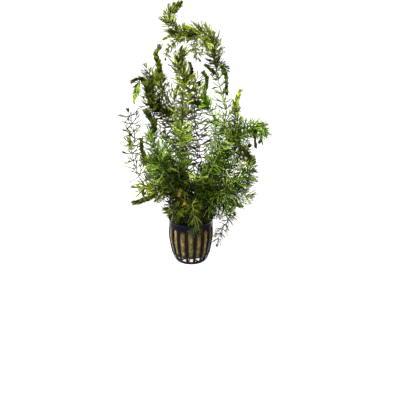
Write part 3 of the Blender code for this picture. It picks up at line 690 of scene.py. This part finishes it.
def leaf_tissue(name, old, young, stem_colour, painted_bud_light):
    """Living leaf tissue: waxy and thin. Leaves vary at random from dark to straw-pale, and that
    spread of brightness is also painted highlight and painted shade. They are lighter at their tips,
    darker near the pot, where they are old and carry painted shade, and darker in a closed bud by
    painted shade."""
    material, tree, shader = new_material(name)
    age, tint, reach, is_open, is_stem = [
        add_node(tree, "ShaderNodeAttribute", attribute_name=kind).outputs["Fac"]
        for kind in ("age", "tint", "reach", "open", "stem")]
    place = add_node(tree, "ShaderNodeTexCoord").outputs["Object"]
    patches = add_node(tree, "ShaderNodeTexNoise", {"Vector": place, "Scale": 45.0, "Detail": 2.0})
    patchy = add_node(tree, "ShaderNodeMath", {0: patches, 1: 0.8, 2: -0.4},
                      operation="MULTIPLY_ADD")
    youth = add_node(tree, "ShaderNodeMath", {0: patchy, 1: age}, operation="ADD", use_clamp=True)
    grown = add_node(tree, "ShaderNodeMix", {0: youth, 6: srgb(old), 7: srgb(young)},
                     data_type="RGBA")
    fade = add_node(tree, "ShaderNodeMapRange", {0: tint, 1: 0.9, 4: 0.3})
    faded = add_node(tree, "ShaderNodeMix", {0: fade, 6: grown, 7: srgb("8f8c4a")},
                     data_type="RGBA")
    random_tone_and_painted_light = add_node(tree, "ShaderNodeMath", {0: tint, 1: 2.3}, operation="POWER")
    # each leaf's brightness: a random tone, stretched so far that it paints highlights on some leaves
    # and shade on others
    light = add_node(tree, "ShaderNodeMapRange", {0: random_tone_and_painted_light, 3: 0.12, 4: 2.5})
    tip_light = add_node(tree, "ShaderNodeMapRange", {0: reach, 3: 0.8, 4: 1.35})
    height = add_node(tree, "ShaderNodeSeparateXYZ", {0: place}).outputs[2]
    # painted shade, partly age: leaves below 98 mm, over the pot's mouth, darken down to 0.28 of their
    # colour
    painted_foot_shade = add_node(tree, "ShaderNodeMapRange", {0: height, 1: 0.045, 2: 0.098, 3: 0.28},
                          interpolation_type="SMOOTHSTEP")
    # painted shade: a closed bud, where the leaves crowd together, darkens to the share of light its
    # tissue keeps there
    painted_bud_shade = add_node(tree, "ShaderNodeMapRange", {0: is_open, 3: painted_bud_light})
    value = light
    for shade in (tip_light, painted_foot_shade, painted_bud_shade):
        value = add_node(tree, "ShaderNodeMath", {0: value, 1: shade}, operation="MULTIPLY")
    varied = add_node(tree, "ShaderNodeHueSaturation", {"Value": value, "Color": faded})
    colour = add_node(tree, "ShaderNodeMix", {0: is_stem, 6: varied, 7: srgb(stem_colour)},
                      data_type="RGBA")
    connect(shader, {"Base Color": colour, "Roughness": 0.42, "IOR": 1.45, "Specular IOR Level": 0.08})
    return material


# the last number is the share of light a closed bud keeps under its painted shade
TISSUES = {slot: leaf_tissue("hornwort leaf, " + look, *colours) for slot, look, *colours in (
    ("lime_leaf", "young lime", "40640e", "869c22", "8f9a4e", 0.85),
    ("green_leaf", "fresh green", "38560f", "6c901e", "7c8a44", 0.45),
    ("deep_green_leaf", "shaded green", "2b3d0a", "4e6818", "8a9658", 0.25),
    ("olive_leaf", "olive", "424a11", "748420", "646a34", 0.45),
    ("dark_olive_leaf", "dark olive", "323e0d", "566418", "5d5f34", 0.28),
    ("pale_leaf", "thin and bare", "302c12", "42441c", "7c7648", 0.28),
    ("brown_leaf", "old and brown", "60521c", "7c762c", "6a5828", 0.28),
)}

# Habits of growth: gaps between whorls, the bud's length and the wander in millimetres, spreads
# in degrees, the leaves in one whorl, and the rest as shares of 1
Habit = namedtuple("Habit", "gap leaves foot_spread tip_spread bud bud_gap bud_leaf bud_closing "
                   "wander stretch thickness", defaults=[1.0, 1.0])
FOXTAIL = Habit(3.0, 9, 70, 54, 14, 2.0, 0.55, 0.8, 4)
FOXTAIL_MIDDLE = Habit(3.0, 8, 70, 66, 3, 3.0, 1.0, 0.1, 4)
FEATHER = Habit(4.2, 8, 70, 46, 24, 2.4, 0.55, 1.2, 3)
THICK = Habit(3.2, 9, 58, 42, 14, 1.8, 0.7, 1.0, 3, 1.0, 1.1)
BRUSH = Habit(4.6, 8, 84, 58, 6, 2.8, 0.5, 0.6, 5)
BRUSH_MIDDLE = Habit(4.8, 6, 84, 74, 3, 3.0, 1.0, 0.1, 5, 1.7, 1.25)
BUSH = Habit(3.4, 9, 84, 66, 6, 2.6, 0.55, 0.3, 6)
SPRAY = Habit(4.8, 8, 96, 66, 3, 3.0, 0.5, 0.3, 6)
STAR = Habit(3.4, 8, 104, 84, 5, 2.0, 0.6, 0.3, 3, 1.0, 1.3)
OPEN = Habit(7.0, 5, 84, 70, 6, 3.0, 0.45, 0.4, 8, 1.0, 1.1)
WEB = Habit(4.5, 5, 92, 84, 8, 3.0, 0.5, 0.3, 12, 1.0, 1.35)
TANGLE = Habit(4.0, 4, 86, 74, 8, 3.0, 0.5, 0.4, 12, 1.0, 1.3)
BUSHY_TOP = Habit(11.0, 7, 86, 64, 36, 2.2, 0.75, 0.4, 6, 0.55, 1.05)
SPARSE = Habit(10.0, 5, 92, 80, 5, 2.5, 0.4, 0.3, 4, 1.0, 1.3)
SPIRE = Habit(3.9, 8, 76, 56, 26, 1.6, 0.75, 4.5, 2)
GREEN_SPIRE = Habit(3.1, 8, 82, 60, 26, 1.6, 0.75, 3.0, 4)
LONG_SPIRE = Habit(5.2, 7, 80, 60, 40, 1.5, 0.85, 3.0, 2)
ROD = Habit(6.0, 7, 82, 66, 36, 1.4, 0.85, 8.0, 2, 1.2)

# A shoot has its leaves' lengths at its foot and at its tip, and its route. A route that begins
# with two numbers starts there in the wool
Shoot = namedtuple("Shoot", "name slot habit foot_leaf tip_leaf route")
PLUG_TOP = 44.0
ROUTE_STEP = 1.5
PLANTED_DEPTH, PLANTED_RISE = 4, 3   # of a planted stem, below the wool's top and straight up
PLANTED_BARE = 9.0                   # length without leaves at a planted stem's foot
EDGE_BARE, EDGE_RADIUS = 17.0, 10    # the same by the pot's wall, and from where that holds
SIDE_BARE = 1.0                      # the same on a side shoot
BUD_MOST = 0.8                       # of a shoot's leafy length
SHOOT_SEED_STEP = 10


def grow(rows, first_seed):
    """Make each shoot's mesh, and let it stand for its solid."""
    shoots = [Shoot(*row) for row in rows]
    pieces = []
    for number, shoot in enumerate(shoots):
        points = list(shoot.route)
        planted = len(points[0]) == 2
        if planted:
            x, y = points[0]
            points = [(x, y, PLUG_TOP - PLANTED_DEPTH), (x, y, PLUG_TOP),
                      (x, y, PLUG_TOP + PLANTED_RISE)] + points[1:]
        path = smooth_path(points, ROUTE_STEP)
        length = sum((b - a).length for a, b in zip(path, path[1:]))
        habit = shoot.habit
        bare = SIDE_BARE
        if planted:
            bare = EDGE_BARE if math.hypot(*shoot.route[0]) > EDGE_RADIUS else PLANTED_BARE
        bud = min(habit.bud, (length - bare) * BUD_MOST)
        open_whorls = max(1, round((length - bare - bud) / habit.gap))
        bud_whorls = max(2, round(bud / habit.bud_gap))
        mesh = bpy.data.meshes.new(shoot.name + "_leaves")
        mesh.from_pydata([p * MM for p in path], [(i, i + 1) for i in range(len(path) - 1)], [])
        piece = put(shoot.name + "_leaves", mesh)
        growth = piece.modifiers.new("growth", "NODES")
        growth.node_group = SHOOT_TREE
        set_inputs(growth, {
            "Leaf forms": leaf_forms,
            "Tissue": TISSUES[shoot.slot],
            "Open whorls": open_whorls,
            "Last whorl": open_whorls + bud_whorls - 1,
            "Leaf count": (open_whorls + bud_whorls) * habit.leaves,
            "Leaves in a whorl": habit.leaves,
            "Seed": first_seed + SHOOT_SEED_STEP * number,
            "Bare foot": bare / length,
            "Bud foot": 1 - bud / length,
            "Bud": bud / length,
            "Bud leaf": habit.bud_leaf,
            "Bud closing": habit.bud_closing,
            "Foot leaf": shoot.foot_leaf * MM,
            "Tip leaf": shoot.tip_leaf * MM,
            "Foot spread": math.radians(habit.foot_spread),
            "Tip spread": math.radians(habit.tip_spread),
            "Wander": habit.wander * MM,
            "Stretch": habit.stretch,
            "Thickness": habit.thickness,
        })
        pieces.append(piece)
    settle(pieces)
    for shoot, piece in zip(shoots, pieces):
        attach(piece, "root")
        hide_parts(shoot.name)


# The centre stem
# The tallest upright stem: nearly leafless rungs in its middle, where light reaches it, and a
# bushy top. A dark side tip and an open side shoot grow from its upper half.

grow([
    ("centre_stem", "olive_leaf", BUSHY_TOP, 15, 16,
     [(0, 0), (-1, 0, 67), (-3, -1, 100), (-8, -5, 138), (-10, -8, 166), (-7, -10, 197),
      (-7, -14, 217), (-12, -18, 232), (-10, -19, 239)]),
    ("centre_side_tip", "dark_olive_leaf", SPIRE, 8, 7,
     [(-5, -12, 207), (0, -4, 214), (1, 0, 219), (0, 1, 223)]),
    ("open_upper_shoot", "olive_leaf", OPEN, 15, 14,
     [(-10, -8, 166), (-2, 2, 174), (5, 9, 185), (8, 13, 197)]),
], 1000)


# The left stem
# Ends in a long closed spire beside the centre's top. Its side shoots bend out to the left:
# an open one that hooks over and hangs, a dense dark one, a pale bare one and one inside.

grow([
    ("left_stem", "olive_leaf", LONG_SPIRE, 19, 10,
     [(-6, 5), (-7, 6, 64), (-8, 8, 90), (-6, 16, 125), (-13, 20, 150), (-23, 20, 164),
      (-29, 18, 180), (-31, 13, 200), (-33, 8, 222), (-35, 6, 231), (-33, 5, 238)]),
    ("upper_left_shoot", "olive_leaf", BRUSH, 14, 13,
     [(-30, 16, 190), (-37, 22, 196), (-42, 28, 203), (-46, 32, 211)]),
    ("left_hook_shoot", "dark_olive_leaf", SPIRE, 9, 8,
     [(-37, 23, 195), (-46, 22, 199), (-52, 20, 203), (-56, 18, 203), (-59, 17, 202)]),
    ("left_hook_drop", "lime_leaf", FEATHER, 10, 8,
     [(-53, 20, 203), (-56, 24, 196), (-58, 26, 187), (-60, 26, 177)]),
    ("dark_olive_shoot", "dark_olive_leaf", THICK, 17, 13,
     [(-22, 20, 163), (-33, 10, 173), (-40, 2, 186), (-43, -4, 198), (-41, -8, 208)]),
    ("pale_left_shoot", "pale_leaf", OPEN, 14, 12,
     [(-13, 20, 150), (-27, 16, 150), (-38, 11, 156), (-44, 14, 170), (-50, 18, 180)]),
    ("open_middle_shoot", "dark_olive_leaf", TANGLE, 20, 20,
     [(-7, 17, 130), (-15, 28, 140), (-20, 34, 153), (-20, 36, 168), (-15, 37, 184)]),
], 1100)


# The right stem and its arch
# Grown too tall for the tank: the stem lies over in an arch at the top, and its end turns up
# again as an S. Short shoots hang from the arch or stand out from it.

grow([
    ("right_stem", "deep_green_leaf", BRUSH_MIDDLE, 17, 13,
     [(6, -5), (6, -5, 62), (12, -10, 88), (21, -17, 113), (30, -23, 140), (36, -26, 165),
      (36, -26, 182), (32, -24, 199), (28, -20, 212), (27, -15, 225)]),
    ("front_middle_shoot", "deep_green_leaf", BRUSH, 17, 15,
     [(12, -10, 88), (13, -26, 96), (13, -38, 108), (11, -43, 122)]),
    ("inner_small_tip", "dark_olive_leaf", SPIRE, 6, 5,
     [(28, -18, 217), (20, -23, 227), (16, -26, 231)]),
    ("arch_stem", "olive_leaf", FOXTAIL_MIDDLE, 14, 14,
     [(27, -15, 226), (24, -8, 238), (24, -1, 248), (17, 5, 256), (7, 9, 259), (-4, 12, 254)]),
    ("arch_tip_shoot", "olive_leaf", FOXTAIL, 14, 11,
     [(-4, 12, 254), (-13, 14, 256), (-20, 16, 263), (-21, 17, 272), (-17, 18, 278),
      (-12, 18, 283)]),
    ("arch_small_tip", "olive_leaf", SPIRE, 6, 5,
     [(-13, 14, 256), (-19, 10, 253), (-26, 7, 250)]),
    ("drooping_pale_shoot", "olive_leaf", BRUSH, 8, 7,
     [(1, 11, 257), (-7, 17, 250), (-17, 20, 242), (-24, 19, 235), (-26, 18, 226)]),
    ("crest_hanging_shoot", "dark_olive_leaf", BRUSH, 12, 9,
     [(10, 8, 258), (5, 0, 250), (5, -4, 241), (8, -6, 233)]),
    ("crest_front_shoot", "olive_leaf", BRUSH, 11, 10,
     [(22, 2, 252), (17, -8, 251), (13, -16, 247)]),
    ("outer_right_shoot", "deep_green_leaf", SPIRE, 8, 8,
     [(27, -13, 229), (33, -16, 228), (36, -18, 220), (37, -20, 213), (37, -22, 204)]),
], 1200)


# The inner right stem
# A slim stem behind the right one, with a closed green spire and a side shoot that crosses
# the middle like a brush.

grow([
    ("inner_right_stem", "green_leaf", ROD, 17, 8,
     [(9, 3), (10, 4, 65), (16, 6, 86), (22, 8, 113), (26, 7, 139), (26, 3, 160), (21, -2, 177),
      (15, -5, 189), (16, -7, 203), (17, -8, 210), (15, -8, 215)]),
    ("inner_side_shoot", "deep_green_leaf", THICK, 8, 5,
     [(21, -2, 177), (10, 6, 180), (1, 13, 180)]),
], 1300)


# The green left stem
# The youngest and greenest growth in front: a leaning stem with a narrow tip, two full side
# shoots that fill the middle, and a dark narrow one on the left.

grow([
    ("green_left_stem", "deep_green_leaf", GREEN_SPIRE, 20, 12,
     [(-6, -7), (-6, -8, 66), (-9, -15, 90), (-17, -22, 112), (-28, -28, 130), (-37, -30, 145),
      (-40, -30, 157), (-38, -28, 167), (-41, -26, 174), (-43, -25, 178)]),
    ("green_middle_shoot", "deep_green_leaf", WEB, 18, 14,
     [(-10, -16, 93), (-12, -30, 115), (-13, -36, 140), (-12, -38, 158), (-7, -36, 171)]),
    ("green_low_shoot", "deep_green_leaf", BUSH, 18, 17,
     [(-15, -20, 107), (-23, -33, 115), (-31, -42, 128), (-34, -46, 142)]),
    ("dark_left_tip", "dark_olive_leaf", SPIRE, 14, 10,
     [(-27, -28, 128), (-38, -20, 122), (-46, -13, 123), (-51, -8, 131), (-52, -5, 140)]),
], 1400)


# The far left stem
# An old thin stem that bends out and up. Its whorls stand far apart, with few leaves left.

grow([
    ("far_left_stem", "pale_leaf", SPARSE, 19, 16,
     [(-12, 6), (-14, 8, 60), (-22, 14, 68), (-36, 18, 76), (-48, 18, 85), (-58, 16, 99),
      (-63, 12, 116), (-63, 8, 131), (-60, 4, 145), (-61, 0, 158), (-64, -3, 169), (-65, -4, 175)]),
    ("pale_small_tip", "lime_leaf", SPIRE, 6, 5,
     [(-63, 9, 127), (-66, 15, 135), (-66, 18, 144)]),
], 1500)


# The low left stem
# Leans out flat over the pot's left side and ends in two olive tips.

grow([
    ("low_left_stem", "olive_leaf", BUSH, 19, 12,
     [(-13, -4), (-14, -8, 66), (-18, -16, 87), (-28, -22, 97), (-41, -26, 98), (-52, -28, 97),
      (-57, -29, 99)]),
    ("low_left_tip", "olive_leaf", SPIRE, 15, 12,
     [(-27, -22, 96), (-37, -15, 86), (-49, -12, 78), (-58, -10, 74)]),
    ("left_middle_shoot", "deep_green_leaf", BRUSH, 19, 16,
     [(-18, -16, 87), (-25, -5, 98), (-35, 3, 106), (-45, 7, 115)]),
], 1600)


# The rim shoots
# Short cuttings at the pot's edge: dark thick leaves in a star, and old brown ones.

grow([
    ("rim_star_shoot", "dark_olive_leaf", STAR, 18, 14,
     [(-9, -13), (-11, -18, 62), (-17, -26, 71), (-24, -33, 76)]),
    ("rim_brown_shoot", "brown_leaf", OPEN, 11, 9,
     [(0, -7), (0, -12, 62), (-6, -24, 80), (-14, -33, 93)]),
], 1700)


# The right bush
# A side of fresh green that swings out to the right and droops at its end, with a lime
# upright shoot on it.

grow([
    ("right_bush_stem", "green_leaf", BUSH, 18, 15,
     [(13, -3), (14, -7, 65), (18, -8, 88), (27, -6, 109), (36, -2, 127), (46, 3, 139), (58, 8, 147),
      (70, 12, 152), (77, 12, 149), (77, 10, 140)]),
    ("lime_shoot", "lime_leaf", FEATHER, 9, 13,
     [(43, 1, 136), (48, -10, 150), (49, -14, 166), (47, -15, 182), (48, -15, 190), (50, -14, 196)]),
    ("bush_hanging_tip", "deep_green_leaf", SPIRE, 7, 6,
     [(64, 10, 150), (68, 0, 147), (69, -6, 138)]),
    ("bush_inner_shoot", "green_leaf", FOXTAIL_MIDDLE, 18, 16,
     [(49, 4, 141), (42, 15, 145), (33, 23, 149)]),
    ("right_middle_shoot", "deep_green_leaf", SPRAY, 19, 16,
     [(27, -6, 109), (37, 7, 113), (49, 17, 118), (61, 23, 124)]),
], 1800)


# The low right stem
# The dense dark mass at the lower right: a stem that leans out and divides four times.

grow([
    ("low_right_stem", "deep_green_leaf", SPRAY, 20, 16,
     [(11, -11), (12, -14, 63), (21, -21, 81), (31, -30, 95), (43, -36, 107), (55, -38, 116),
      (62, -38, 120)]),
    ("low_right_tip", "dark_olive_leaf", SPIRE, 12, 9,
     [(58, -38, 118), (64, -31, 126), (60, -25, 134), (52, -19, 142)]),
    ("low_right_middle_shoot", "olive_leaf", SPRAY, 17, 12,
     [(23, -23, 84), (34, -14, 99), (44, -10, 111), (52, -10, 121), (58, -12, 129)]),
    ("low_right_outer_shoot", "deep_green_leaf", SPRAY, 20, 16,
     [(30, -29, 93), (42, -39, 94), (51, -44, 95), (59, -46, 96)]),
    ("low_right_front_shoot", "deep_green_leaf", SPRAY, 16, 10,
     [(19, -20, 78), (29, -34, 77), (37, -41, 75), (44, -45, 76)]),
], 1900)


# The hanging shoots
# Two cuttings that fall over the rim: one at the pot's right side with a small upright tip,
# and one down the front.

grow([
    ("right_hanging_stem", "olive_leaf", OPEN, 14, 9,
     [(17, -7), (19, -9, 58), (26, -14, 74), (34, -17, 77), (41, -19, 71), (42, -19, 60),
      (36, -17, 47), (31, -15, 35), (29, -15, 25)]),
    ("right_small_tip", "lime_leaf", FOXTAIL, 9, 6,
     [(37, -18, 76), (46, -8, 71), (56, -3, 65)]),
    ("front_hanging_shoot", "dark_olive_leaf", SPRAY, 16, 10,
     [(4, -15), (4, -18, 60), (2, -28, 78), (3, -36, 76), (5, -38, 64), (5, -37, 48)]),
], 2000)


# The back stems
# The bunch is as full behind as it is in front: low branches on the right and left, and an
# open stem between them.

grow([
    ("back_right_stem", "deep_green_leaf", BRUSH, 20, 15,
     [(9, 10), (12, 14, 60), (20, 23, 68), (35, 30, 74), (51, 34, 77), (69, 35, 79)]),
    ("back_right_low_shoot", "green_leaf", BRUSH, 18, 10,
     [(27, 27, 71), (39, 40, 62), (52, 46, 61), (64, 48, 66)]),
    ("back_middle_stem", "dark_olive_leaf", WEB, 22, 20,
     [(1, 11), (2, 13, 62), (7, 24, 80), (10, 36, 104), (8, 42, 131), (6, 42, 155), (6, 38, 176),
      (3, 34, 197)]),
    ("back_left_stem", "green_leaf", BRUSH, 19, 13,
     [(-6, 14), (-6, 16, 62), (-11, 26, 76), (-20, 38, 94), (-26, 45, 113), (-28, 47, 130)]),
    ("back_low_left_shoot", "deep_green_leaf", BRUSH, 18, 10,
     [(-11, 26, 76), (-24, 35, 74), (-37, 41, 78), (-50, 45, 85)]),
], 2100)


for form in list(leaf_forms.objects):
    bpy.data.objects.remove(form)
bpy.data.collections.remove(leaf_forms)
